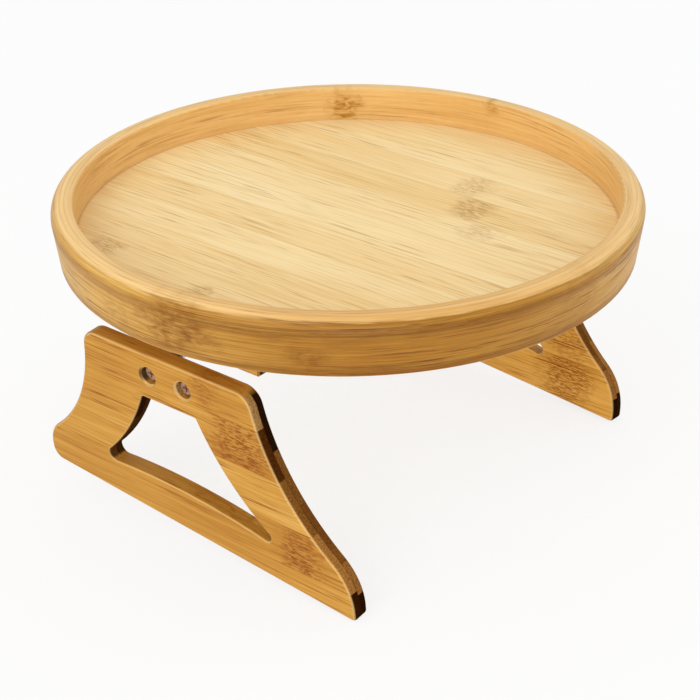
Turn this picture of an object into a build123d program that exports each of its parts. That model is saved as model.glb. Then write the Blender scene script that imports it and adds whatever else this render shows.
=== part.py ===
from build123d import *
import math
import os

# Sofa arm tray: a round bamboo tray with two sprung bamboo clamp plates hinged under it.
# Millimetres. X runs across the sofa arm, Y along it, Z up. The origin is the centre of the
# floor's underside, the face that lies on the sofa arm. Left is the side of negative X.

# Tray floor, a flat round panel that reaches under the rim's inner wall by the let-in
floor_thickness = 6.0
floor_let_in = 2.0
floor_edge_clearance = 0.1

# Tray rim, a bent laminated ring with a rebate, open downward, that the floor is glued into from
# below. The outer radius is that of the section's top corner before it is rounded, and the taper
# is how much narrower the outside is at the foot.
rim_outer_radius = 125.7
rim_top_width = 10.2
rim_taper = 3.0
rim_top_height = 22.0
rim_foot_drop = 2.8
rim_outer_rounding = 5.5
rim_inner_rounding = 1.2
rim_foot_rounding = 1.2

# Clamp station: one batten, one hinge and one plate share this centre along Y. The inset is
# from the rim's inner wall to the hinge pin's axis.
station_centre_y = 8.0
pin_inset = 17.5
rest_tilt = 5.0

# Batten screwed under the floor, its top let into a shallow housing. The height is what stands
# below the floor.
batten_width = 20.0
batten_height = 16.8
batten_length = 85.0
batten_edge_break = 0.8
housing_depth = 1.0
housing_clearance = 0.1

# Screws that hold the batten to the floor
batten_screw_spacing = 60.0
batten_screw_head_sink = 4.0
batten_screw_bite = 4.0

# Hinge: two pressed leaves, a pin and a torsion spring between the knuckles. The face offset is
# the distance from the pin's axis to the wood under a leaf, and the reach runs to the leaf's edge.
# The barrel of knuckles is shorter than the leaves and flush with their rear end.
leaf_thickness = 1.0
leaf_reach = 16.0
leaf_length = 30.0
barrel_length = 17.6
leaf_corner_rounding = 1.5
leaf_face_offset = 2.3
knuckle_radius = 2.0
knuckle_gap = 0.3
fixed_knuckle_length = 2.2
moving_knuckle_length = 2.2
knuckle_sweep_clearance = 0.5
spring_slot_depth = 11.0
pin_radius = 1.0
pin_running_clearance = 0.05
pin_head_radius = 1.7
pin_head_length = 0.8

# Torsion spring wound round the pin
wire_radius = 0.35
coil_radius = 1.55
coil_pitch = 1.2
coil_quarter_turns = 21
spring_leg_length = 8.0

# Leaf screws and plate screws share one spacing and one distance from the pin
screw_spacing = 19.3
screw_reach = 10.0

# Countersunk wood screws of the fixed leaf and of the batten
wood_screw_radius = 1.75
wood_screw_head_radius = 3.4
wood_screw_head_height = 1.8
wood_screw_point_length = 3.0
leaf_screw_length = 13.0
screw_clearance = 0.05

# Machine screws that hold the plate to the moving leaf's threaded collars
plate_screw_radius = 2.0
plate_screw_head_radius = 3.5
plate_screw_head_height = 2.2
plate_screw_head_rounding = 0.7
collar_radius = 3.0
collar_depth = 1.5
counterbore_radius = 3.9
counterbore_depth = 4.6
counterbore_chamfer = 0.8

# Cross recess in every screw head
recess_length = 3.4
recess_width = 0.8
recess_depth = 1.1

# Clamp plate outline, seen square on. Drops are measured from the top edge. A flank leaves the
# neck at its lean from upright and turns evenly to its foot's lean, where the toe's round nose
# takes over; the nose ends upright, above the toe's straight side. Front is negative Y.
plate_thickness = 8.0
plate_top_above_pin = 0.5
neck_half_width = 46.4
neck_corner_radius = 8.0
front_height = 91.4
front_flank_lean = 11.0
front_foot_lean = 49.6
front_nose_radius = 27.8
front_toe_side = 4.2
front_toe_rounding = 1.9
back_height = 77.9
back_flank_lean = 5.0
back_foot_lean = 51.3
back_nose_radius = 14.4
back_toe_side = 7.5
back_toe_rounding = 6.0
plate_edge_rounding = 1.5

# Window through the clamp plate. Its low corners lie inward of the toes' tips and above the
# plate's bottom corners, and its sill is arched up from the line between them.
window_top_drop = 22.1
window_half_width = 14.7
window_flank_lean = 23.0
window_top_rounding = 0.9
window_front_inset = 32.4
window_front_rise = 18.8
window_back_inset = 31.9
window_back_rise = 13.0
window_front_rounding = 2.4
window_back_rounding = 3.3
window_edge_rounding = 1.2
sill_rise = 4.7

# One overrun serves every cut
overrun = 1.0

rim_inner_radius = rim_outer_radius - rim_top_width
rim_foot_radius = rim_outer_radius - rim_taper
floor_radius = rim_inner_radius + floor_let_in
pin_x = pin_inset - rim_inner_radius
pin_z = -batten_height - leaf_face_offset
batten_centre_x = pin_x + batten_width / 2
barrel_centre_y = (leaf_length - barrel_length) / 2
spring_zone = barrel_length - 2 * (fixed_knuckle_length + moving_knuckle_length + 2 * knuckle_gap)
front_profile = (front_flank_lean, front_foot_lean, front_height, front_nose_radius, front_toe_side)
back_profile = (back_flank_lean, back_foot_lean, back_height, back_nose_radius, back_toe_side)
standing = (Align.CENTER, Align.CENTER, Align.MIN)
hanging = (Align.CENTER, Align.CENTER, Align.MAX)


def pin_place(piece):
    """Set a hinge piece, drawn about a pin along Y at the origin, on the left hinge line."""
    return Location((pin_x, station_centre_y, pin_z)) * piece


def hanging_place(piece):
    """Set a piece that hangs on the left pin, turned inward by the rest tilt."""
    return Location((pin_x, station_centre_y, pin_z), (0, -rest_tilt, 0)) * piece


def post(radius, height):
    """A round post that stands on Z zero."""
    return Cylinder(radius, height, align=standing)


def taper(low_radius, high_radius, height):
    """A cone or a cut-off cone that stands on Z zero."""
    return Cone(low_radius, high_radius, height, align=standing)


def rod_along_y(radius, low_y, high_y):
    """A round rod about the Y axis from low_y to high_y."""
    rod = Cylinder(radius, high_y - low_y, rotation=(90, 0, 0))
    return Pos(0, (low_y + high_y) / 2, 0) * rod


def round_corner(face, corner, radius):
    """Round the corner of a flat outline that lies nearest to the given point."""
    return fillet(face.vertices().sort_by_distance((*corner, 0))[0], radius)


def screw_rows(spacing):
    """The two places along Y of a pair of screws."""
    return (-spacing / 2, spacing / 2)


def make_floor():
    """Round floor panel, glued up from bamboo strips and planed flat."""
    panel = post(floor_radius, floor_thickness)
    pilot = post(wood_screw_radius + screw_clearance, batten_screw_bite + screw_clearance + overrun)
    housing = Box(
        batten_width + 2 * housing_clearance,
        batten_length + 2 * housing_clearance,
        housing_depth + overrun,
        align=standing,
    )
    for side in (-1, 1):
        panel -= Pos(side * batten_centre_x, station_centre_y, -overrun) * housing
        for row in screw_rows(batten_screw_spacing):
            panel -= Pos(side * batten_centre_x, station_centre_y + row, -overrun) * pilot
    return panel


def make_rim():
    """Bent laminated rim: tapered outside, upright inside, with a rebate for the floor."""
    foot_inner = (rim_inner_radius, -rim_foot_drop)
    foot_outer = (rim_foot_radius, -rim_foot_drop)
    top_outer = (rim_outer_radius, rim_top_height)
    top_inner = (rim_inner_radius, rim_top_height)
    section = make_face(Polyline(foot_inner, foot_outer, top_outer, top_inner, close=True))
    section = round_corner(section, top_outer, rim_outer_rounding)
    section = round_corner(section, top_inner, rim_inner_rounding)
    section = round_corner(section, foot_outer, rim_foot_rounding)
    ring = revolve(Plane.XZ * section, axis=Axis.Z)
    rebate = post(floor_radius + floor_edge_clearance, floor_thickness + rim_foot_drop + overrun)
    return ring - Pos(0, 0, -rim_foot_drop - overrun) * rebate


def make_batten():
    """Square batten under the floor, pierced for its own screws and for the leaf screws."""
    batten = Box(batten_width, batten_length, batten_height + housing_depth, align=hanging)
    free_edges = batten.edges().filter_by(Axis.Z) + batten.faces().sort_by(Axis.Z)[0].edges()
    batten = Pos(batten_centre_x, station_centre_y, housing_depth) * chamfer(free_edges, batten_edge_break)
    shank_radius = wood_screw_radius + screw_clearance
    head_radius = wood_screw_head_radius + screw_clearance
    for row in screw_rows(batten_screw_spacing):
        hole_foot = Pos(batten_centre_x, station_centre_y + row, -batten_height)
        cone_foot = hole_foot * Pos(0, 0, batten_screw_head_sink)
        batten -= hole_foot * post(shank_radius, batten_height + housing_depth + overrun)
        batten -= hole_foot * post(head_radius, batten_screw_head_sink)
        batten -= cone_foot * taper(head_radius, shank_radius, wood_screw_head_height)
    for row in screw_rows(screw_spacing):
        batten -= leaf_screw_place(row) * screw_cavity(leaf_screw_length)
    return batten


def leaf_screw_place(row):
    """Where a leaf screw's head lies flush in the fixed leaf's lower face."""
    head_z = pin_z + leaf_face_offset - leaf_thickness
    return Pos(pin_x + screw_reach, station_centre_y + row, head_z)


def screw_cavity(length):
    """The room that a countersunk screw takes, head down and pointing up, with its clearance."""
    head_radius = wood_screw_head_radius + screw_clearance
    shank_radius = wood_screw_radius + screw_clearance
    cavity = taper(head_radius, shank_radius, wood_screw_head_height)
    return cavity + post(shank_radius, length + screw_clearance)


def cross_recess():
    """Cross-shaped driver recess, open downward at Z zero and cut upward."""
    depth = recess_depth + overrun
    cross = Box(recess_length, recess_width, depth, align=standing)
    cross += Box(recess_width, recess_length, depth, align=standing)
    return Pos(0, 0, -overrun) * cross


def wood_screw(length):
    """Countersunk wood screw, its flat head at Z zero and its point upward."""
    shank_length = length - wood_screw_point_length
    screw = taper(wood_screw_head_radius, wood_screw_radius, wood_screw_head_height)
    screw += post(wood_screw_radius, shank_length)
    screw += Pos(0, 0, shank_length) * taper(wood_screw_radius, 0, wood_screw_point_length)
    return screw - cross_recess()


def make_batten_screws():
    """Two screws that go up through the batten, heads sunk, and bite into the floor."""
    length = batten_height - batten_screw_head_sink + batten_screw_bite
    head_z = -batten_height + batten_screw_head_sink
    screws = []
    for row in screw_rows(batten_screw_spacing):
        screws.append(Pos(batten_centre_x, station_centre_y + row, head_z) * wood_screw(length))
    return Compound(children=screws)


def make_leaf_screws():
    """Two short screws that hold the fixed leaf to the batten."""
    screws = []
    for row in screw_rows(screw_spacing):
        screws.append(leaf_screw_place(row) * wood_screw(leaf_screw_length))
    return Compound(children=screws)


def leaf_blank(knuckle_spans, bore_radius):
    """Hinge leaf lying flat above the pin and reaching along X, with its own knuckles round the pin."""
    inner_x = knuckle_radius + knuckle_sweep_clearance
    plate_low_z = leaf_face_offset - leaf_thickness
    half_length = leaf_length / 2
    plate = Pos(inner_x, 0, plate_low_z) * Box(
        leaf_reach - inner_x,
        leaf_length,
        leaf_thickness,
        align=(Align.MIN, Align.CENTER, Align.MIN),
    )
    far_corners = plate.edges().filter_by(Axis.Z).group_by(Axis.X)[-1]
    leaf = fillet(far_corners, leaf_corner_rounding)
    leaf -= Pos(0, barrel_centre_y, plate_low_z - overrun) * Box(
        spring_slot_depth,
        spring_zone,
        leaf_thickness + 2 * overrun,
        align=(Align.MIN, Align.CENTER, Align.MIN),
    )
    for low_y, high_y in knuckle_spans:
        tongue = Pos(0, (low_y + high_y) / 2, plate_low_z) * Box(
            inner_x + overrun,
            high_y - low_y,
            leaf_thickness,
            align=(Align.MIN, Align.CENTER, Align.MIN),
        )
        leaf += tongue
        leaf += rod_along_y(knuckle_radius, low_y, high_y)
    return leaf - rod_along_y(bore_radius, -half_length - overrun, half_length + overrun)


def fixed_knuckles():
    """The outer pair of knuckles, as low and high Y."""
    low_y = barrel_centre_y - barrel_length / 2
    high_y = barrel_centre_y + barrel_length / 2
    return ((low_y, low_y + fixed_knuckle_length), (high_y - fixed_knuckle_length, high_y))


def moving_knuckles():
    """The inner pair of knuckles, one gap inside the outer pair."""
    outer = barrel_length / 2 - fixed_knuckle_length - knuckle_gap
    inner = outer - moving_knuckle_length
    return (
        (barrel_centre_y - outer, barrel_centre_y - inner),
        (barrel_centre_y + inner, barrel_centre_y + outer),
    )


def make_fixed_leaf():
    """Leaf screwed flat under the batten; its outer knuckles grip the pin."""
    leaf = leaf_blank(fixed_knuckles(), pin_radius)
    hole_z = leaf_face_offset - leaf_thickness
    for row in screw_rows(screw_spacing):
        leaf -= Pos(screw_reach, row, hole_z) * screw_cavity(leaf_screw_length)
    return pin_place(leaf)


def make_moving_leaf():
    """Leaf on the plate's inner face, the mirror of the fixed one, with threaded collars."""
    leaf = leaf_blank(moving_knuckles(), pin_radius + pin_running_clearance)
    bore = post(plate_screw_radius + screw_clearance, leaf_thickness + collar_depth + 2 * overrun)
    for row in screw_rows(screw_spacing):
        leaf += Pos(screw_reach, row, leaf_face_offset) * post(collar_radius, collar_depth)
        leaf -= Pos(screw_reach, row, leaf_face_offset - leaf_thickness - overrun) * bore
    closing_plane = Plane(origin=(0, 0, 0), z_dir=(1, 0, 1))
    return hanging_place(mirror(leaf, about=closing_plane))


def make_pin():
    """Hinge pin, headed at both ends."""
    low_y = barrel_centre_y - barrel_length / 2
    high_y = barrel_centre_y + barrel_length / 2
    pin = rod_along_y(pin_radius, low_y, high_y)
    pin += rod_along_y(pin_head_radius, low_y - pin_head_length, low_y)
    pin += rod_along_y(pin_head_radius, high_y, high_y + pin_head_length)
    return pin_place(pin)


def coil_point(turned, start_y):
    """A point of the coil's centre line after the given angle, and the direction there."""
    angle = math.radians(90 + turned)
    rise = coil_pitch * turned / 360
    point = Vector(coil_radius * math.cos(angle), start_y + rise, coil_radius * math.sin(angle))
    slope = coil_pitch / (2 * math.pi)
    direction = Vector(-coil_radius * math.sin(angle), slope, coil_radius * math.cos(angle))
    return point, direction.normalized()


def biarc(start, start_direction, end, end_direction):
    """Two arcs that leave start and reach end along the given directions."""
    chord = end - start
    both = start_direction + end_direction
    spread = 2 * (1 - start_direction.dot(end_direction))
    along = chord.dot(both)
    reach = (-along + math.sqrt(along * along + spread * chord.dot(chord))) / spread
    middle = (start + start_direction * reach + end - end_direction * reach) * 0.5
    first = Edge.make_tangent_arc(start, start_direction, middle)
    return [first, Edge.make_tangent_arc(middle, first % 1, end)]


def least_coil_gap(start_y):
    """Smallest clear distance between one turn and the next, measured on points."""
    step = 10
    count = coil_quarter_turns * 90 // step
    points = [coil_point(index * step, start_y)[0] for index in range(count + 1)]
    half_turn = 180 // step
    gaps = []
    for index, point in enumerate(points):
        for other in points[index + half_turn:]:
            gaps.append((point - other).length - 2 * wire_radius)
    return min(gaps)


def make_spring():
    """Torsion spring: a coil round the pin, one leg under the batten, one behind the plate."""
    turned = 90 * coil_quarter_turns + rest_tilt
    start_y = barrel_centre_y - coil_pitch * turned / 360 / 2
    steps = [turned * quarter / coil_quarter_turns for quarter in range(coil_quarter_turns + 1)]
    points = [coil_point(step, start_y) for step in steps]
    first_point = points[0][0]
    last_point = points[-1][0]
    tilt = math.radians(rest_tilt)
    first_direction = Vector(-1, 0, 0)
    last_direction = Vector(math.sin(tilt), 0, -math.cos(tilt))
    points[0] = (first_point, first_direction)
    points[-1] = (last_point, last_direction)
    edges = [Edge.make_line(first_point - first_direction * spring_leg_length, first_point)]
    for (start, start_direction), (end, end_direction) in zip(points, points[1:]):
        edges += biarc(start, start_direction, end, end_direction)
    edges.append(Edge.make_line(last_point, last_point + last_direction * spring_leg_length))
    path = Wire(edges)
    section = Plane(origin=path @ 0, z_dir=path % 0) * Circle(wire_radius)
    print("least gap between the spring's turns:", round(least_coil_gap(start_y), 3), "mm")
    return pin_place(sweep(section, path=path))


def flank_arc(side, start_half, start_drop, lean, end_reach, end_drop):
    """Concave flank of an outline: leaves the start leaning outward and curves out to its foot."""
    slope = math.radians(lean)
    return TangentArc(
        (side * start_half, -start_drop),
        (side * end_reach, -end_drop),
        tangent=(side * math.sin(slope), -math.cos(slope)),
    )


def toe_arc(flank, toe_y):
    """Round nose of a toe: leaves the flank in line and ends upright at the toe's reach."""
    start = flank @ 1
    heading = flank % 1
    radius = abs(toe_y - start.X) / (1 + heading.Y)
    return TangentArc(start, (toe_y, start.Y - radius * abs(heading.X)), tangent=heading)


def neck_drop(flank_lean):
    """Where the round neck corner ends and the flank begins."""
    return neck_corner_radius * (1 - math.sin(math.radians(flank_lean)))


def flank_foot(flank_lean, foot_lean, height, nose_radius, toe_side):
    """Reach and drop of a flank's foot, where the toe's nose begins."""
    drop = height - toe_side - nose_radius * math.sin(math.radians(foot_lean))
    mean_lean = math.radians((flank_lean + foot_lean) / 2)
    reach = neck_half_width + (drop - neck_drop(flank_lean)) * math.tan(mean_lean)
    return reach, drop


def toe_reach(flank_lean, foot_lean, height, nose_radius, toe_side):
    """Reach of a toe's tip from the neck's middle."""
    reach = flank_foot(flank_lean, foot_lean, height, nose_radius, toe_side)[0]
    return reach + nose_radius * (1 - math.cos(math.radians(foot_lean)))


def plate_outline():
    """Clamp plate face: straight top, round neck corners, flared flanks, sloped bottom edge."""
    lines = []
    top_ends = []
    low_corners = []
    for side, profile in ((-1, front_profile), (1, back_profile)):
        flank_lean, height = profile[0], profile[2]
        slope = math.radians(flank_lean)
        top_end = (side * (neck_half_width - neck_corner_radius * math.cos(slope)), 0)
        neck_end = (side * neck_half_width, -neck_drop(flank_lean))
        foot_reach, foot_drop = flank_foot(*profile)
        flank = flank_arc(side, neck_half_width, neck_drop(flank_lean), flank_lean, foot_reach, foot_drop)
        low_corner = (side * toe_reach(*profile), -height)
        nose = toe_arc(flank, low_corner[0])
        lines += [TangentArc(top_end, neck_end, tangent=(side, 0)), flank, nose, Line(nose @ 1, low_corner)]
        top_ends.append(top_end)
        low_corners.append(low_corner)
    lines += [Line(*top_ends), Line(*low_corners)]
    outline = make_face(Curve() + lines)
    outline = round_corner(outline, low_corners[0], front_toe_rounding)
    return round_corner(outline, low_corners[1], back_toe_rounding)


def window_outline():
    """Window face: short top edge, two flanks that follow the plate's, and an arched sill."""
    lines = [Line((-window_half_width, -window_top_drop), (window_half_width, -window_top_drop))]
    front_reach = toe_reach(*front_profile) - window_front_inset
    back_reach = toe_reach(*back_profile) - window_back_inset
    front_drop = front_height - window_front_rise
    back_drop = back_height - window_back_rise
    for side, reach, drop in ((-1, front_reach, front_drop), (1, back_reach, back_drop)):
        lines.append(flank_arc(side, window_half_width, window_top_drop, window_flank_lean, reach, drop))
    front_end = (-front_reach, -front_drop)
    back_end = (back_reach, -back_drop)
    front_share = front_reach / (front_reach + back_reach)
    sill_drop = front_drop + (back_drop - front_drop) * front_share - sill_rise
    lines.append(ThreePointArc(front_end, (0, -sill_drop), back_end))
    window = make_face(Curve() + lines)
    window = round_corner(window, front_end, window_front_rounding)
    window = round_corner(window, back_end, window_back_rounding)
    window = round_corner(window, (-window_half_width, -window_top_drop), window_top_rounding)
    return round_corner(window, (window_half_width, -window_top_drop), window_top_rounding)


def outer_face_place(row, depth):
    """A plane that looks inward from the plate's outer face, sunk by depth at a screw's row."""
    outer_x = -leaf_face_offset - plate_thickness
    return Plane(origin=(outer_x + depth, row, -screw_reach), z_dir=(1, 0, 0))


def plate_bore():
    """The stepped hole of a plate screw, its mouth at Z zero: countersunk rim, head, shank, collar."""
    shank_hole_radius = plate_screw_radius + screw_clearance
    collar_hole_radius = collar_radius + screw_clearance
    collar_hole_drop = plate_thickness - collar_depth - screw_clearance
    mouth_radius = counterbore_radius + counterbore_chamfer
    profile = Polyline(
        (0, -overrun),
        (mouth_radius, -overrun),
        (mouth_radius, 0),
        (counterbore_radius, counterbore_chamfer),
        (counterbore_radius, counterbore_depth),
        (shank_hole_radius, counterbore_depth),
        (shank_hole_radius, collar_hole_drop),
        (collar_hole_radius, collar_hole_drop),
        (collar_hole_radius, plate_thickness + overrun),
        (0, plate_thickness + overrun),
        close=True,
    )
    return revolve(Plane.XZ * make_face(profile), axis=Axis.Z)


def face_rims(plate, pick_wire):
    """The edges of one wire of the plate's outer face and of its inner face."""
    faces = plate.faces().filter_by(Axis.X).sort_by(Axis.X)
    return pick_wire(faces[0]).edges() + pick_wire(faces[-1]).edges()


def make_clamp_plate():
    """Clamp plate with its window and two counterbored holes, every face edge rounded over."""
    facing = Plane(origin=(-leaf_face_offset, 0, plate_top_above_pin), x_dir=(0, 1, 0), z_dir=(1, 0, 0))
    plate = extrude(facing * plate_outline(), -plate_thickness)
    plate -= extrude(facing * window_outline(), -plate_thickness)
    plate = fillet(face_rims(plate, lambda face: face.outer_wire()), plate_edge_rounding)
    plate = fillet(face_rims(plate, lambda face: face.inner_wires()[0]), window_edge_rounding)
    for row in screw_rows(screw_spacing):
        plate -= outer_face_place(row, 0) * plate_bore()
    return hanging_place(plate)


def make_plate_screws():
    """Two pan-head machine screws, heads sunk in the counterbores, threaded into the leaf's collars."""
    head = post(plate_screw_head_radius, plate_screw_head_height)
    head = fillet(head.edges().group_by(Axis.Z)[0], plate_screw_head_rounding)
    shank_length = plate_thickness - counterbore_depth + leaf_thickness
    shank = Pos(0, 0, plate_screw_head_height) * post(plate_screw_radius, shank_length)
    screw = head + shank - cross_recess()
    head_depth = counterbore_depth - plate_screw_head_height
    screws = []
    for row in screw_rows(screw_spacing):
        screws.append(outer_face_place(row, head_depth) * screw)
    return hanging_place(Compound(children=screws))


left_pieces = {
    "batten": make_batten(),
    "batten_screws": make_batten_screws(),
    "fixed_leaf": make_fixed_leaf(),
    "fixed_leaf_screws": make_leaf_screws(),
    "hinge_pin": make_pin(),
    "torsion_spring": make_spring(),
    "moving_leaf": make_moving_leaf(),
    "clamp_plate": make_clamp_plate(),
    "clamp_plate_screws": make_plate_screws(),
}

pieces = {"tray_floor": make_floor(), "tray_rim": make_rim()}
for name, piece in left_pieces.items():
    pieces["left_" + name] = piece
    pieces["right_" + name] = mirror(piece, about=Plane.YZ)

os.makedirs("parts", exist_ok=True)
for name, piece in pieces.items():
    export_step(piece, os.path.join("parts", name + ".step"))
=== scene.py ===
import math
import bpy
from mathutils import Matrix, Vector


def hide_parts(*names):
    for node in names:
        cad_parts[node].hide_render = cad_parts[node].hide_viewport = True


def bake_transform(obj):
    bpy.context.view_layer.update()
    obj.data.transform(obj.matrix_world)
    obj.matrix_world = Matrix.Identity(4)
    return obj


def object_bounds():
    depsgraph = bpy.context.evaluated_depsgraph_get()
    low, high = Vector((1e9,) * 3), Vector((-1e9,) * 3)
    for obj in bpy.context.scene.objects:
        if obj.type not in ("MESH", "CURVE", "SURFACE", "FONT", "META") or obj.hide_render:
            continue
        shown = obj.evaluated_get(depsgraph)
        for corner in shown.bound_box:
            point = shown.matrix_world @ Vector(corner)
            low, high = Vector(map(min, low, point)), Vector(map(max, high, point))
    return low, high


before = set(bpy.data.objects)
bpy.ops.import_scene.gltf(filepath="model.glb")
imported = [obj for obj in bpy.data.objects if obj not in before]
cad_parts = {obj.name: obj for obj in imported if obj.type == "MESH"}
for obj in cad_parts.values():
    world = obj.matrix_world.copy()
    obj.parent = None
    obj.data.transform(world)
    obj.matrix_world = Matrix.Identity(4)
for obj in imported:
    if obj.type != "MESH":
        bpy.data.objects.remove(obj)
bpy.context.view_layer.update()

# Tray floor: a round panel of pressed bamboo, glued up from strips 21 mm wide that run along Y,
# then planed and lacquered. The eye sees straight straw-pale fibres, faint joints between the
# strips, and dashed marks where a culm's node crosses a strip.
mm = 1000.0
strip_width = 21.0
# Where the painted corner shade on the floor begins and ends, as a radius in millimetres
floor_first_joint = 7.0
corner_shade_start = 114.2
corner_shade_end = 115.6


def linear(hex_colour):
    """An sRGB hex colour as linear red, green, blue and alpha."""
    parts = [int(hex_colour[start:start + 2], 16) / 255 for start in (0, 2, 4)]
    return tuple(c / 12.92 if c <= 0.04045 else ((c + 0.055) / 1.055) ** 2.4 for c in parts) + (1.0,)


def put(tree, kind, inputs=None, out=0, ramp=(), **settings):
    """Adds one shader node with its settings. An input is a value, a hex colour or an output to link."""
    made = tree.nodes.new("ShaderNode" + kind)
    for name, value in settings.items():
        setattr(made, name, value)
    for socket, value in (inputs or {}).items():
        if isinstance(value, bpy.types.NodeSocket):
            tree.links.new(value, made.inputs[socket])
        else:
            made.inputs[socket].default_value = linear(value) if isinstance(value, str) else value
    if ramp:
        stops = made.color_ramp.elements
        while len(stops) < len(ramp):
            stops.new(1.0)
        for stop, (position, colour) in zip(stops, ramp):
            stop.position = position
            stop.color = linear(colour)
    return made.outputs if out is None or not made.outputs else made.outputs[out]


def new_finish(name):
    """An empty node material and its tree."""
    finish = bpy.data.materials.new(name)
    finish.use_nodes = True
    finish.node_tree.nodes.clear()
    return finish, finish.node_tree


def measured(tree):
    """The object's coordinates in millimetres."""
    seen = put(tree, "TexCoord", out="Object")
    return put(tree, "VectorMath", {0: seen, "Scale": mm}, operation="SCALE")


def mottle(tree, place, sizes, detail, out=0, **more):
    """Noise with grains of the given sizes in millimetres along the three axes of place."""
    scaled = put(tree, "VectorMath", {0: place, 1: tuple(1 / size for size in sizes)}, operation="MULTIPLY")
    return put(tree, "TexNoise", {"Vector": scaled, "Scale": 1.0, "Detail": detail, **more}, out=out)


def culm_mark(tree, place, middle, half_sizes, strength, fade):
    """One culm node's patch: full at its middle, fading between two multiples of its half sizes."""
    half_length, half_width = half_sizes
    away = put(tree, "VectorMath", {0: place, 1: middle}, operation="SUBTRACT")
    away = put(tree, "VectorMath", {0: away, 1: (1 / half_length, 1 / half_width, 0.0)},
               operation="MULTIPLY")
    away = put(tree, "VectorMath", {0: away}, out="Value", operation="LENGTH")
    return put(tree, "MapRange", {0: away, 1: fade[0], 2: fade[1], 3: strength, 4: 0.0},
               interpolation_type="SMOOTHSTEP")


def bamboo(tree, board, width, first_joint, tones, marks, mark_colour, seed, contrast=1.0, spread=0.06,
           glue_strength=0.3):
    """Colour and relief of pressed bamboo with strips of one width, all in millimetres.

    Board is (along the grain, across the strips, depth). Each mark is a culm node, (along, across,
    half length, half width, strength), and ends at its own strip's joints."""
    along, across, depth = put(tree, "SeparateXYZ", {0: board}, out=None)
    ratio = put(tree, "Math", {0: across, 1: first_joint}, operation="SUBTRACT")
    ratio = put(tree, "Math", {0: ratio, 1: width}, operation="DIVIDE")
    count = put(tree, "Math", {0: ratio}, operation="FLOOR")

    # Each strip is cut from another place of a long culm, so it is slid by its own lot
    strip_slide = 900.0
    strip = put(tree, "Math", {0: count, 1: seed}, operation="ADD")
    lot = put(tree, "TexWhiteNoise", {"W": strip}, out="Value", noise_dimensions="1D")
    slid = put(tree, "Math", {0: lot, 1: strip_slide, 2: along}, operation="MULTIPLY_ADD")
    lie = put(tree, "CombineXYZ", {0: slid, 1: across, 2: depth})

    # Fibre bundles, streaks and slow drifts, each with its length, width, detail and weight
    fibre_layers = (
        (36.0, 0.83, 2.0, 0.42),
        (83.0, 2.0, 2.0, 0.4),
        (100.0, 17.0, 1.0, 0.36),
    )
    tone = put(tree, "MapRange", {0: lot, 3: 0.5 - spread, 4: 0.5 + spread})
    bundles = None
    for length, breadth, detail, weight in fibre_layers:
        fibre = mottle(tree, lie, (length, breadth, breadth), detail, Roughness=0.6)
        bundles = fibre if bundles is None else bundles
        fibre = put(tree, "Math", {0: fibre, 1: 0.5}, operation="SUBTRACT")
        tone = put(tree, "Math", {0: fibre, 1: weight * contrast, 2: tone}, operation="MULTIPLY_ADD")
    colour = put(tree, "ValToRGB", {0: tone}, ramp=tones)

    # Dark vessels, hair-fine and broken, which come in fields
    hair = mottle(tree, lie, (28.6, 0.77, 0.77), 2.0)
    hair = put(tree, "MapRange", {0: hair, 1: 0.55, 2: 0.68, 3: 0.0, 4: 0.9 * contrast})
    field = mottle(tree, lie, (71.4, 12.5, 12.5), 1.0)
    field = put(tree, "MapRange", {0: field, 1: 0.4, 2: 0.62, 3: 0.15, 4: 1.0})
    hair = put(tree, "Math", {0: hair, 1: field}, operation="MULTIPLY")
    colour = put(tree, "Mix", {0: hair, 6: colour, 7: mark_colour}, out=2, data_type="RGBA")

    # The glue line between strips
    glue_half_width = 0.35
    border = put(tree, "Math", {0: ratio}, operation="FRACT")
    border = put(tree, "Math", {0: border, 1: 0.5}, operation="SUBTRACT")
    border = put(tree, "Math", {0: border}, operation="ABSOLUTE")
    border = put(tree, "Math", {0: border, 1: width}, operation="MULTIPLY")
    glue = put(tree, "MapRange", {0: border, 1: width / 2 - glue_half_width, 2: width / 2, 3: 0.0,
                                  4: glue_strength})
    colour = put(tree, "Mix", {0: glue, 6: colour, 7: mark_colour}, out=2, data_type="RGBA")

    # Culm nodes: a faint stain of wavering outline with short dark dashes along the grain in it
    sway_along, sway_across = 14.0, 7.0
    wander = mottle(tree, board, (8.33, 8.33, 8.33), 2.0, out="Color")
    bent = put(tree, "VectorMath", {0: wander, 1: (sway_along, sway_across, 0.0), 2: board},
               operation="MULTIPLY_ADD")
    patch = None
    for mark_along, mark_across, half_length, half_width, strength in marks:
        middle = (mark_along + sway_along / 2, mark_across + sway_across / 2, 0.0)
        here = culm_mark(tree, bent, middle, (half_length, half_width), strength, fade=(0.35, 1.3))
        own_strip = math.floor((mark_across - first_joint) / width)
        same = put(tree, "Math", {0: count, 1: own_strip, 2: 0.5}, operation="COMPARE")
        here = put(tree, "Math", {0: here, 1: same}, operation="MULTIPLY")
        patch = here if patch is None else put(tree, "Math", {0: patch, 1: here}, operation="MAXIMUM")
    if patch is not None:
        dash = mottle(tree, lie, (3.1, 0.71, 0.71), 2.0, Distortion=0.35)
        dash = put(tree, "MapRange", {0: dash, 1: 0.45, 2: 0.58, 3: 0.2, 4: 0.95})
        stain = put(tree, "Math", {0: dash, 1: patch}, operation="MULTIPLY")
        colour = put(tree, "Mix", {0: stain, 6: colour, 7: mark_colour}, out=2, data_type="RGBA")
    relief = put(tree, "Math", {0: bundles, 1: hair}, operation="SUBTRACT")
    return colour, relief


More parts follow.
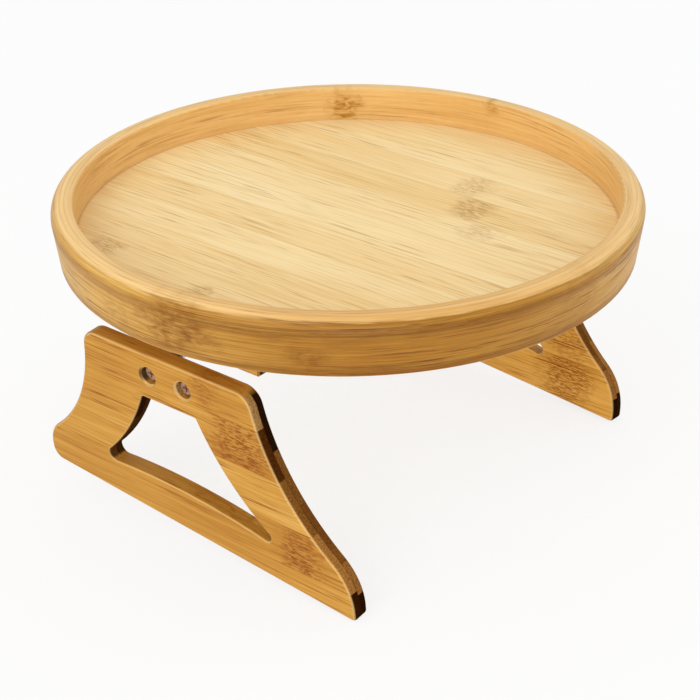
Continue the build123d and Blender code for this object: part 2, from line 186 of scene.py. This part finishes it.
def lacquer(tree, colour, relief, roughness, shine=0.2):
    """Thin satin lacquer over wood: the colour, a little grain relief and a low soft shine."""
    lift = put(tree, "Bump", {"Strength": 0.25, "Distance": 0.0002, "Height": relief})
    wood = put(tree, "BsdfPrincipled", {"Base Color": colour, "Roughness": roughness, "IOR": 1.5,
                                        "Specular IOR Level": shine, "Normal": lift})
    put(tree, "OutputMaterial", {"Surface": wood})


def dress(node, finish):
    """Gives a carried-over node its finish."""
    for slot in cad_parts[node].material_slots:
        slot.material = finish


floor_finish, tree = new_finish("pale_pressed_bamboo")
x, y, z = put(tree, "SeparateXYZ", {0: measured(tree)}, out=None)
board = put(tree, "CombineXYZ", {0: y, 1: x, 2: z})
floor_tones = [(0.3, "DDB46C"), (0.43, "EDCA8A"), (0.55, "F4D9A0"), (0.7, "F8E3B2")]
floor_marks = (
    (-24, 60, 10, 14, 0.5),
    (-37, 41, 10, 14, 0.72),
    (-53, 24, 9, 12, 0.45),
    (62, -80, 10, 12, 0.58),
    (2, -89, 6, 7, 0.5),
)
colour, relief = bamboo(tree, board, strip_width, floor_first_joint, floor_tones, floor_marks, "AA7C34",
                        seed=3.0, contrast=0.62)
# Painted shade: the floor is darkened in a ring where it meets the rim, where the corner's shadow falls
reach = put(tree, "CombineXYZ", {0: x, 1: y})
reach = put(tree, "VectorMath", {0: reach}, out="Value", operation="LENGTH")
corner = put(tree, "MapRange", {0: reach, 1: corner_shade_start, 2: corner_shade_end, 3: 0.0, 4: 0.55})
colour = put(tree, "Mix", {0: corner, 6: colour, 7: "A87434"}, out=2, data_type="RGBA")
lacquer(tree, colour, relief, roughness=0.46)
dress("tray_floor", floor_finish)

# Tray rim: five thin bamboo plies bent round a form and glued, then turned to a tapered outside
# and a rounded top. The top shows the plies as fine rings, the walls show one ply's long grain,
# and the ends of the outer ply meet at the photo's right, across from joint_opposite.
ply = 1.95
ply_waver = 0.7
rim_inner = 115.5
rim_mean_radius = 120.0
joint_opposite = math.radians(129)
rim_front = math.radians(-132)
rim_sway_along, rim_sway_up = 16.0, 8.0

rim_finish, tree = new_finish("bent_ply_bamboo")
turned = put(tree, "VectorRotate", {"Vector": measured(tree), "Angle": -joint_opposite},
             rotation_type="Z_AXIS")
x, y, z = put(tree, "SeparateXYZ", {0: turned}, out=None)
angle = put(tree, "Math", {0: y, 1: x}, operation="ARCTAN2")
along = put(tree, "Math", {0: angle, 1: rim_mean_radius}, operation="MULTIPLY")
lie = put(tree, "CombineXYZ", {0: along, 1: z})
ragged = mottle(tree, lie, (16.7, 1.0, 1.0), 3.0)
flat_place = put(tree, "CombineXYZ", {0: x, 1: y})
radius = put(tree, "VectorMath", {0: flat_place}, out="Value", operation="LENGTH")
radius = put(tree, "Math", {0: ragged, 1: ply_waver, 2: radius}, operation="MULTIPLY_ADD")
board = put(tree, "CombineXYZ", {0: along, 1: radius, 2: z})
rim_tones = [(0.28, "C48C42"), (0.42, "DEAE64"), (0.55, "EAC17C"), (0.7, "F3D193")]
colour, relief = bamboo(tree, board, ply, rim_inner, rim_tones, (), "8E5A1C", seed=11.0, glue_strength=0.45)

# Culm nodes lie on the walls, so each is (angle in degrees, height, half length, half height, strength)
rim_marks = (
    (-173, 10, 20, 12, 1.0),
    (-187, 7, 12, 8, 0.35),
    (39.9, 12, 10, 10, 1.0),
    (3.5, 19, 5, 4, 0.7),
    (-148, 6, 9, 6, 0.6),
    (-95, 12, 14, 13, 0.3),
)
wander = mottle(tree, lie, (7.14, 7.14, 7.14), 2.0, out="Color")
bent = put(tree, "VectorMath", {0: wander, 1: (rim_sway_along, rim_sway_up, 0.0), 2: lie},
           operation="MULTIPLY_ADD")
patch = None
for mark_angle, mark_z, half_length, half_height, strength in rim_marks:
    mark_turn = (math.radians(mark_angle) - joint_opposite + math.pi) % (2 * math.pi) - math.pi
    middle = (mark_turn * rim_mean_radius + rim_sway_along / 2, mark_z + rim_sway_up / 2, 0.0)
    here = culm_mark(tree, bent, middle, (half_length, half_height), strength, fade=(0.4, 1.2))
    patch = here if patch is None else put(tree, "Math", {0: patch, 1: here}, operation="MAXIMUM")
blotch = mottle(tree, lie, (5.0, 1.82, 1.82), 4.0, Distortion=0.6)
blotch = put(tree, "MapRange", {0: blotch, 1: 0.42, 2: 0.62, 3: 0.25, 4: 0.95})
blotch = put(tree, "Math", {0: blotch, 1: patch}, operation="MULTIPLY")

# How far a point faces away from the tray's middle, with a ragged border, and how near the front it is
spoke = put(tree, "VectorMath", {0: flat_place}, operation="NORMALIZE")
facing = put(tree, "TexCoord", out="Normal")
facing = put(tree, "VectorRotate", {"Vector": facing, "Angle": -joint_opposite}, rotation_type="Z_AXIS")
outward = put(tree, "VectorMath", {0: facing, 1: spoke}, out="Value", operation="DOT_PRODUCT")
outward = put(tree, "Math", {0: ragged, 1: 0.25, 2: outward}, operation="MULTIPLY_ADD")
front_turn = rim_front - joint_opposite + 2 * math.pi
from_front = put(tree, "Math", {0: angle, 1: front_turn}, operation="SUBTRACT")
from_front = put(tree, "Math", {0: from_front}, operation="ABSOLUTE")
brown = put(tree, "MapRange", {0: from_front, 1: 0.15, 2: 1.1, 3: 1.0, 4: 0.0},
            interpolation_type="SMOOTHSTEP")

# The innermost ply is calmer. The upward-facing top is painted paler, as painted light, and least so at the
# front
inside = put(tree, "MapRange", {0: outward, 1: -0.1, 2: -0.6, 3: 0.0, 4: 0.5})
colour = put(tree, "Mix", {0: inside, 6: colour, 7: "E2B470"}, out=2, data_type="RGBA")
upward = put(tree, "SeparateXYZ", {0: facing}, out="Z")
painted_top_light = put(tree, "MapRange", {0: upward, 1: 0.5, 2: 0.9, 3: 0.0, 4: 0.5})
top_light_tint = put(tree, "Mix", {0: brown, 6: "EFCA8C", 7: "D9AA68"}, out=2, data_type="RGBA")
colour = put(tree, "Mix", {0: painted_top_light, 6: colour, 7: top_light_tint}, out=2, data_type="RGBA")
colour = put(tree, "Mix", {0: blotch, 6: colour, 7: "A8720C"}, out=2, data_type="RGBA")

# The outside is one darker ply with fine brown lines, and is browner at the front
outer_tint = put(tree, "Mix", {0: brown, 6: "E2D4A4", 7: "B69A56"}, out=2, data_type="RGBA")
line = mottle(tree, lie, (55.6, 0.5, 0.5), 3.0, Roughness=0.7)
line = put(tree, "MapRange", {0: line, 1: 0.46, 2: 0.58})
line_strength = put(tree, "MapRange", {0: brown, 3: 0.3, 4: 0.65})
line = put(tree, "Math", {0: line, 1: line_strength}, operation="MULTIPLY")
outer_tint = put(tree, "Mix", {0: line, 6: outer_tint, 7: "977438"}, out=2, data_type="RGBA")
outside = put(tree, "MapRange", {0: outward, 1: 0.76, 2: 0.9})
colour = put(tree, "Mix", {0: outside, 6: colour, 7: outer_tint}, out=2, data_type="RGBA",
             blend_type="MULTIPLY")
lacquer(tree, colour, relief, roughness=0.42)
dress("tray_rim", rim_finish)

# Battens: square bamboo bars screwed to the floor's underside, one along each side. They carry
# the hinges. Their long faces show straight grain and their sawn ends show darker, open pores,
# deepened to near black as painted shade under the tray.
bar_strip_width = 6.7

batten_finish, tree = new_finish("pressed_bamboo_bar")
x, y, z = put(tree, "SeparateXYZ", {0: measured(tree)}, out=None)
board = put(tree, "CombineXYZ", {0: y, 1: x, 2: z})
bar_tones = [(0.28, "A66E22"), (0.42, "C38A34"), (0.56, "D29B45"), (0.72, "E4B262")]
bar_marks = ((20, -88, 8, 9, 0.6), (-14, 90, 8, 9, 0.6))
colour, relief = bamboo(tree, board, bar_strip_width, 0.0, bar_tones, bar_marks, "6E3F10", seed=23.0)
facing = put(tree, "TexCoord", out="Normal")
end = put(tree, "Math", {0: put(tree, "SeparateXYZ", {0: facing}, out="Y")}, operation="ABSOLUTE")
end = put(tree, "MapRange", {0: end, 1: 0.5, 2: 0.85})
pores = mottle(tree, board, (0.71, 0.71, 0.71), 2.0)
# Painted shade: the end grain's pores are painted near black for the shade under the tray
pores = put(tree, "ValToRGB", {0: pores}, ramp=[(0.35, "180B04"), (0.6, "3A200C")])
colour = put(tree, "Mix", {0: end, 6: colour, 7: pores}, out=2, data_type="RGBA")
lacquer(tree, colour, relief, roughness=0.5, shine=0.08)
for side_name in ("left", "right"):
    dress(side_name + "_batten", batten_finish)

# Hinge leaves: pressed from 1 mm steel strip, knuckles rolled round the pin, nickel plated. The
# plating is satin and a little cloudy, with faint rolling lines along the strip.


def bare_metal(tree, colour, dull, relief=None, strength=0.0):
    """Plated or drawn metal: its colour, its dullness and, where it has one, a fine relief."""
    inputs = {"Base Color": colour, "Metallic": 1.0, "Roughness": dull}
    if relief is not None:
        inputs["Normal"] = put(tree, "Bump", {"Strength": strength, "Distance": 0.0001, "Height": relief})
    put(tree, "OutputMaterial", {"Surface": put(tree, "BsdfPrincipled", inputs)})


leaf_finish, tree = new_finish("nickel_plated_steel")
place = measured(tree)
rolled = mottle(tree, place, (0.33, 6.7, 0.33), 3.0)
clouds = mottle(tree, place, (4.0, 4.0, 4.0), 3.0)
colour = put(tree, "ValToRGB", {0: clouds}, ramp=[(0.35, "958E82"), (0.65, "B5AFA4")])
dull = put(tree, "MapRange", {0: rolled, 1: 0.3, 2: 0.7, 3: 0.26, 4: 0.42})
bare_metal(tree, colour, dull, rolled, strength=0.12)
for side_name in ("left", "right"):
    dress(side_name + "_fixed_leaf", leaf_finish)
    dress(side_name + "_moving_leaf", leaf_finish)

# Hinge pins: drawn steel wire, headed at both ends and gripped by the fixed leaves' knuckles.
# Bright along the shank, with faint turning marks round it.
pin_finish, tree = new_finish("drawn_steel_pin")
rings = mottle(tree, measured(tree), (3.3, 0.25, 3.3), 2.0)
colour = put(tree, "ValToRGB", {0: rings}, ramp=[(0.35, "A39F99"), (0.65, "C8C5C0")])
dull = put(tree, "MapRange", {0: rings, 1: 0.3, 2: 0.7, 3: 0.2, 4: 0.34})
bare_metal(tree, colour, dull)
for side_name in ("left", "right"):
    dress(side_name + "_hinge_pin", pin_finish)

# Wood screws and plate screws: cold headed from steel wire, with a cross recess, then zinc plated
# and passivated. The plating is warm and half dull, with a faint bloom.
screw_finish, tree = new_finish("zinc_plated_screw")
bloom = mottle(tree, measured(tree), (0.9, 0.9, 0.9), 4.0)
colour = put(tree, "ValToRGB", {0: bloom}, ramp=[(0.3, "A8836E"), (0.5, "C09A84"), (0.7, "D2B09A")])
dull = put(tree, "MapRange", {0: bloom, 1: 0.3, 2: 0.7, 3: 0.52, 4: 0.72})
bare_metal(tree, colour, dull, bloom, strength=0.15)
for side_name in ("left", "right"):
    for kind in ("batten_screws", "fixed_leaf_screws", "clamp_plate_screws"):
        dress(side_name + "_" + kind, screw_finish)

# Torsion springs: 0.7 mm spring wire wound five times round each pin. One leg lies along the fixed
# leaf and the other along the moving leaf, so the coil turns with the plate. The drawn wire is
# grey and a little oily.
pin_x = 0.098
pin_z = -0.0191
barrel_y = 0.0142
rest_tilt = math.radians(5)
wire_radius = 0.00035
coil_radius = 0.00155
coil_pitch = 0.0012
quarter_turns = 21
leg_length = 0.008
leg_steps = 8
steps_per_quarter = 6
wire_sides = 10

spring_finish, tree = new_finish("spring_wire")
oil = mottle(tree, measured(tree), (1.1, 1.1, 1.1), 3.0)
colour = put(tree, "ValToRGB", {0: oil}, ramp=[(0.35, "77726C"), (0.65, "9E9992")])
dull = put(tree, "MapRange", {0: oil, 1: 0.3, 2: 0.7, 3: 0.24, 4: 0.4})
bare_metal(tree, colour, dull)


def wind_spring(side_name, side):
    """The spring's wire as a tube mesh about one pin; side is -1 on the left and 1 on the right."""
    total = quarter_turns * math.pi / 2 + rest_tilt
    reach = coil_pitch * total / (4 * math.pi)
    line = []
    for step in range(leg_steps + 1):
        line.append(Vector((leg_length * (1 - step / leg_steps), -reach, coil_radius)))
    steps = steps_per_quarter * quarter_turns
    for step in range(1, steps + 1):
        turned = total * step / steps
        line.append(Vector((-coil_radius * math.sin(turned), coil_pitch * turned / (2 * math.pi) - reach,
                            coil_radius * math.cos(turned))))
    down = Vector((math.sin(rest_tilt), 0, -math.cos(rest_tilt)))
    coil_end = line[-1]
    for step in range(1, leg_steps + 1):
        line.append(coil_end + down * (leg_length * step / leg_steps))

    # The tube: a ring of points square to the wire at each step, joined by four-sided faces
    points, faces = [], []
    up = Vector((0, 1, 0))
    for index, point in enumerate(line):
        ahead = (line[min(index + 1, len(line) - 1)] - line[max(index - 1, 0)]).normalized()
        across = ahead.cross(up).normalized()
        rise = across.cross(ahead)
        for corner in range(wire_sides):
            turn = 2 * math.pi * corner / wire_sides
            spot = point + (across * math.cos(turn) + rise * math.sin(turn)) * wire_radius
            points.append((side * (pin_x - spot.x), spot.y + barrel_y, spot.z + pin_z))
    for ring in range(len(line) - 1):
        for corner in range(wire_sides):
            near = ring * wire_sides + corner
            far = ring * wire_sides + (corner + 1) % wire_sides
            faces.append((near, far, far + wire_sides, near + wire_sides))
    last = (len(line) - 1) * wire_sides
    faces.append(tuple(reversed(range(wire_sides))))
    faces.append(tuple(range(last, last + wire_sides)))
    if side < 0:
        faces = [tuple(reversed(face)) for face in faces]
    mesh = bpy.data.meshes.new(side_name + "_wound_spring")
    mesh.from_pydata(points, [], faces)
    mesh.shade_smooth()
    mesh.materials.append(spring_finish)
    spring = bpy.data.objects.new(side_name + "_wound_spring", mesh)
    bpy.context.scene.collection.objects.link(spring)
    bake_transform(spring)
    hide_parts(side_name + "_torsion_spring")


wind_spring("left", -1)
wind_spring("right", 1)

# Clamp plates: sawn from two-layer pressed bamboo board, 8 mm thick, grain level, with every face
# edge rounded over. The faces are golden and straight grained with culm nodes; the sawn ends
# show the two layers of strips as staggered dark blocks.
plate_top = 0.5
layer = 4.0
top_strip = 15.0
face_offset = 2.3
seam_half_width = 0.3
rear_cut_centre = 33.0
rear_cut_half_length = 20.5
# Each block of a sawn end starts at a drop from the plate's top, given in millimetres
block_span = 100.0
outer_blocks = ((0, "967244"), (15, "482509"), (36, "784E20"), (57, "946430"), (78, "2C1504"))
inner_blocks = ((0, "221004"), (25.5, "72491E"), (46.5, "6A4018"), (67.5, "86592A"), (80, "241003"))

for side_name, side in (("left", -1), ("right", 1)):
    plate_finish, tree = new_finish("two_layer_bamboo_board_" + side_name)
    seen = put(tree, "TexCoord", out=None)
    place = put(tree, "VectorMath", {0: seen["Object"], 1: (side * pin_x, 0.0, pin_z)}, operation="SUBTRACT")
    place = put(tree, "VectorRotate", {"Vector": place, "Angle": side * -rest_tilt}, rotation_type="Y_AXIS")
    place = put(tree, "VectorMath", {0: place, "Scale": mm}, operation="SCALE")
    x, y, z = put(tree, "SeparateXYZ", {0: place}, out=None)
    depth = put(tree, "Math", {0: x}, operation="ABSOLUTE")
    depth = put(tree, "Math", {0: depth, 1: face_offset}, operation="SUBTRACT")
    drop = put(tree, "Math", {0: plate_top, 1: z}, operation="SUBTRACT")
    # The inner layer's strips are staggered by half a strip
    inner_layer = put(tree, "Math", {0: depth, 1: layer}, operation="LESS_THAN")
    across = put(tree, "Math", {0: inner_layer, 1: strip_width / 2, 2: drop}, operation="MULTIPLY_ADD")
    board = put(tree, "CombineXYZ", {0: y, 1: across, 2: depth})
    # Painted shade and painted light: the left plate's tones are darker and the right plate's brighter, to
    # even out how the lamps reach the two plates
    if side < 0:
        marks = ((-14, 6, 6, 12, 0.6), (-31, 26, 18, 22, 1.0), (-57, 71, 13, 19, 1.0), (40, 95, 10, 9, 0.6))
        tones = [(0.28, "9C661C"), (0.42, "B98230"), (0.56, "C5913C"), (0.72, "D4A555")]
    else:
        marks = ((-56, 85, 16, 22, 0.85), (-57, 66, 14, 20, 0.6), (20, 10, 8, 9, 0.5), (40, 72, 9, 9, 0.8))
        tones = [(0.28, "B47C2C"), (0.42, "D0983E"), (0.56, "DEA64C"), (0.72, "EAB864")]
    colour, relief = bamboo(tree, board, strip_width, top_strip, tones, marks, "8A4602",
                            seed=71.0 + 7 * side, spread=0.05, glue_strength=0.4)

    # Sawn ends: each strip of each layer is its own block of pores, pale or dark as it was sawn
    height = put(tree, "Math", {0: drop, 1: 1 / block_span}, operation="MULTIPLY")
    shades = []
    for blocks in (outer_blocks, inner_blocks):
        ramp = [(start / block_span, block_colour) for start, block_colour in blocks]
        shade = put(tree, "ValToRGB", {0: height}, ramp=ramp)
        shade.node.color_ramp.interpolation = "CONSTANT"
        shades.append(shade)
    sawn = put(tree, "Mix", {0: inner_layer, 6: shades[0], 7: shades[1]}, out=2, data_type="RGBA")
    pores = mottle(tree, put(tree, "CombineXYZ", {0: depth, 1: drop, 2: y}), (0.67, 0.67, 0.67), 3.0)
    pores = put(tree, "MapRange", {0: pores, 1: 0.35, 2: 0.65, 3: 0.65, 4: 1.3})
    sawn = put(tree, "VectorMath", {0: sawn, "Scale": pores}, operation="SCALE")
    seam = put(tree, "Math", {0: depth, 1: layer}, operation="SUBTRACT")
    seam = put(tree, "Math", {0: seam}, operation="ABSOLUTE")
    seam = put(tree, "MapRange", {0: seam, 1: 0.0, 2: seam_half_width, 3: 0.6, 4: 0.0})
    sawn = put(tree, "Mix", {0: seam, 6: sawn, 7: "2A1406"}, out=2, data_type="RGBA")

    # The top and bottom faces are painted darker, as painted shade from the tray, and the rounded arrises
    # paler, as painted highlight over their sanding
    facing = put(tree, "VectorRotate", {"Vector": seen["Normal"], "Angle": side * -rest_tilt},
                 rotation_type="Y_AXIS")
    facing = put(tree, "VectorMath", {0: facing}, operation="ABSOLUTE")
    level, lengthwise, upright = put(tree, "SeparateXYZ", {0: facing}, out=None)
    # Painted shade: the plate's top and bottom faces are darkened
    upright_face_shade = put(tree, "MapRange", {0: upright, 1: 0.6, 2: 0.95, 3: 0.0, 4: 0.3})
    colour = put(tree, "Mix", {0: upright_face_shade, 6: colour, 7: "7A4C18"}, out=2, data_type="RGBA")
    end = put(tree, "MapRange", {0: lengthwise, 1: 0.35, 2: 0.7})
    colour = put(tree, "Mix", {0: end, 6: colour, 7: sawn}, out=2, data_type="RGBA")
    # Painted highlight along the rounded arrises, on top of their sanding
    sanded_arris_highlight = put(tree, "MapRange", {0: level, 1: 0.45, 2: 0.7})
    flat = put(tree, "MapRange", {0: level, 1: 0.86, 2: 0.98, 3: 0.4, 4: 0.0})
    sanded_arris_highlight = put(tree, "Math", {0: sanded_arris_highlight, 1: flat}, operation="MULTIPLY")
    colour = put(tree, "Mix", {0: sanded_arris_highlight, 6: colour, 7: "F0CC8C"}, out=2, data_type="RGBA")

    # Painted shade: the window's rear saw cut, a sawn end inside the recess, is painted near black
    reveal_shade = put(tree, "Math", {0: y, 1: rear_cut_centre, 2: rear_cut_half_length}, operation="COMPARE")
    reveal_shade = put(tree, "Math", {0: reveal_shade, 1: end}, operation="MULTIPLY")
    reveal_shade = put(tree, "Math", {0: reveal_shade, 1: 0.75}, operation="MULTIPLY")
    colour = put(tree, "Mix", {0: reveal_shade, 6: colour, 7: "1E0D04"}, out=2, data_type="RGBA")
    shine = put(tree, "MapRange", {0: end, 3: 0.12, 4: 0.0})
    lacquer(tree, colour, relief, roughness=0.4, shine=shine)
    dress(side_name + "_clamp_plate", plate_finish)

# Ground: a plain white sheet for the tray to stand on, so that the object is lit from below a
# little and keeps its shadow.
sheet_half = 6.0
sheet_gap = 0.0002

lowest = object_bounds()[0][2]
level = lowest - sheet_gap
outline = ((-1, -1), (1, -1), (1, 1), (-1, 1))
corners = [(sign_x * sheet_half, sign_y * sheet_half, level) for sign_x, sign_y in outline]
ground_mesh = bpy.data.meshes.new("ground")
ground_mesh.from_pydata(corners, [], [(0, 1, 2, 3)])
ground = bpy.data.objects.new("ground", ground_mesh)
bpy.context.scene.collection.objects.link(ground)
sheet_finish, tree = new_finish("white_sheet")
ray = put(tree, "LightPath", out=None)
shown = put(tree, "Math", {0: ray["Is Camera Ray"], 1: ray["Is Glossy Ray"]}, operation="MAXIMUM")
shown = put(tree, "Math", {0: shown, 1: ray["Is Transmission Ray"]}, operation="MAXIMUM")
shown = put(tree, "Math", {0: shown, 1: 0.8}, operation="MULTIPLY")
matt = put(tree, "BsdfDiffuse", {"Color": "F2F2F2"})
white = put(tree, "Emission", {"Color": "FFFFFF", "Strength": 1.0})
put(tree, "OutputMaterial", {"Surface": put(tree, "MixShader", {0: shown, 1: matt, 2: white})})
ground_mesh.materials.append(sheet_finish)

# Light: an even white room, one large soft lamp from the upper left and two weaker ones that open
# the shadows under the tray and along the left wall.
room_strength = 0.84

world = bpy.data.worlds.new("white_room")
world.use_nodes = True
tree = world.node_tree
tree.nodes.clear()
room = put(tree, "Background", {"Color": "FFFFFF", "Strength": room_strength})
put(tree, "OutputWorld", {"Surface": room})
bpy.context.scene.world = world


def soft_lamp(name, place, aim, size, power):
    """A square lamp at place that shines at aim."""
    data = bpy.data.lights.new(name, "AREA")
    data.size = size
    data.energy = power
    lamp = bpy.data.objects.new(name, data)
    lamp.location = place
    lamp.rotation_euler = (Vector(aim) - Vector(place)).to_track_quat("-Z", "Y").to_euler()
    bpy.context.scene.collection.objects.link(lamp)


soft_lamp("key_lamp", place=(-1.7, -0.1, 1.1), aim=(0, 0, 0), size=1.0, power=11)
soft_lamp("low_fill_lamp", place=(-1.3, -1.2, 0.1), aim=(0.1, 0, -0.05), size=0.8, power=10)
soft_lamp("right_fill_lamp", place=(1.5, -0.7, 0.9), aim=(-0.1, 0, 0), size=1.0, power=3.5)

# Camera: at the photograph's place, turned and rolled as fitted to the tray's outlines. The lens
# and its shifts come from the same fit.
camera_place = (-0.525854, -0.429253, 0.314136)
heading = math.radians(-50.85)
lift_angle = math.radians(29.62)
roll = math.radians(-0.70)

back = Vector((math.sin(heading) * math.cos(lift_angle), -math.cos(heading) * math.cos(lift_angle),
               math.sin(lift_angle)))
level_right = Vector((math.cos(heading), math.sin(heading), 0))
level_up = back.cross(level_right)
right = level_right * math.cos(roll) + level_up * math.sin(roll)
upward = level_up * math.cos(roll) - level_right * math.sin(roll)
data = bpy.data.cameras.new("photo_camera")
data.sensor_width = 36.0
data.lens = 89.28
data.shift_x = -0.0031
data.shift_y = 0.0369
data.clip_start = 0.01
camera = bpy.data.objects.new("photo_camera", data)
turn = Matrix((right, upward, back)).transposed().to_4x4()
camera.matrix_world = Matrix.Translation(camera_place) @ turn
bpy.context.scene.collection.objects.link(camera)
bpy.context.scene.camera = camera
bpy.context.scene.view_settings.view_transform = "Standard"
